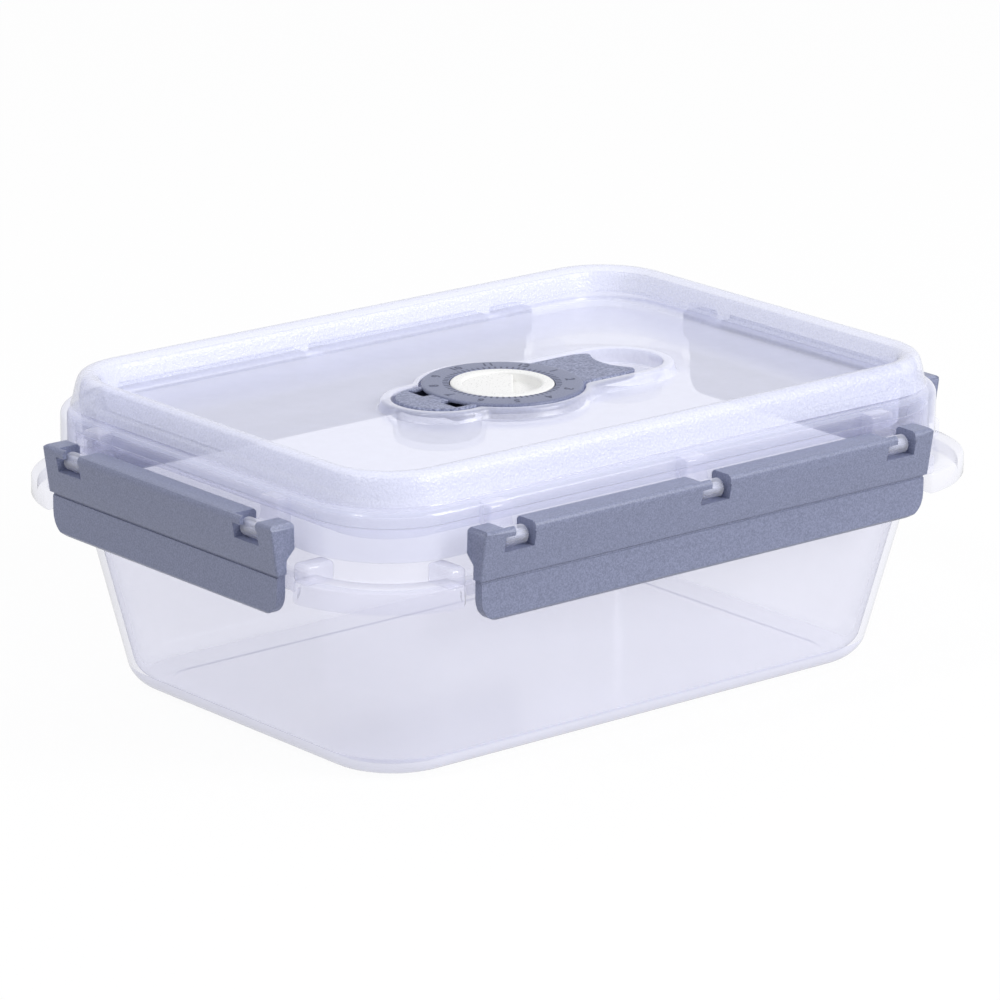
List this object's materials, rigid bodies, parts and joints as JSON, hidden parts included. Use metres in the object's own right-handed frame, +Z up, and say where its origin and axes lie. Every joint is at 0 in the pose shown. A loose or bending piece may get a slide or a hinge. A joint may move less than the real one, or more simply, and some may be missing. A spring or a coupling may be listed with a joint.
{
  "type": "food storage box",
  "caption": "Rectangular see-through food storage box with a gasketed lid, hinged side latches, a vent lever and a turning date dial.",
  "frame": {"origin": "centre of the surface that the tub stands on", "axes": "+Z up, +X along the long sides from the lever's head to its tail, +Y towards the back long side"},
  "size_m": [0.2338, 0.173, 0.0857],
  "materials": {
    "clear_plastic": "milky see-through, smooth",
    "silicone": "soft, matte, translucent",
    "blue_grey_plastic": "fine grained",
    "white_plastic": "smooth"
  },
  "bodies": {
    "tub": {"tub": "clear_plastic"},
    "lid": {"lid": "clear_plastic", "gasket": "silicone"},
    "latch_front": {"latch_front": "blue_grey_plastic"},
    "latch_back": {"latch_back": "blue_grey_plastic"},
    "latch_left": {"latch_left": "blue_grey_plastic"},
    "latch_right": {"latch_right": "blue_grey_plastic"},
    "lever": {"vent_lever": "blue_grey_plastic", "vent_plug": "silicone"},
    "dial": {"date_dial": "white_plastic"}
  },
  "joints": [
    {"name": "lid_lift", "type": "slide", "parent": "tub", "child": "lid", "axis": [0, 0, 1], "range_m": [0, 0.09]},
    {"name": "latch_front_hinge", "type": "hinge", "parent": "lid", "child": "latch_front", "pos_m": [0, -0.0824, 0.0689], "axis": [-1, 0, 0], "range_deg": [-4, 110]},
    {"name": "latch_back_hinge", "type": "hinge", "parent": "lid", "child": "latch_back", "pos_m": [0, 0.0824, 0.0689], "axis": [1, 0, 0], "range_deg": [-4, 110]},
    {"name": "latch_left_hinge", "type": "hinge", "parent": "lid", "child": "latch_left", "pos_m": [-0.1128, 0, 0.0689], "axis": [0, 1, 0], "range_deg": [-4, 110]},
    {"name": "latch_right_hinge", "type": "hinge", "parent": "lid", "child": "latch_right", "pos_m": [0.1128, 0, 0.0689], "axis": [0, -1, 0], "range_deg": [-4, 110]},
    {"name": "vent_lever_hinge", "type": "hinge", "parent": "lid", "child": "lever", "pos_m": [-0.0263, 0, 0.0773], "axis": [0, -1, 0], "range_deg": [0, 70]},
    {"name": "date_dial_turn", "type": "hinge", "parent": "lever", "child": "dial", "pos_m": [0, 0, 0.0785], "axis": [0, 0, 1], "continuous": true}
  ]
}
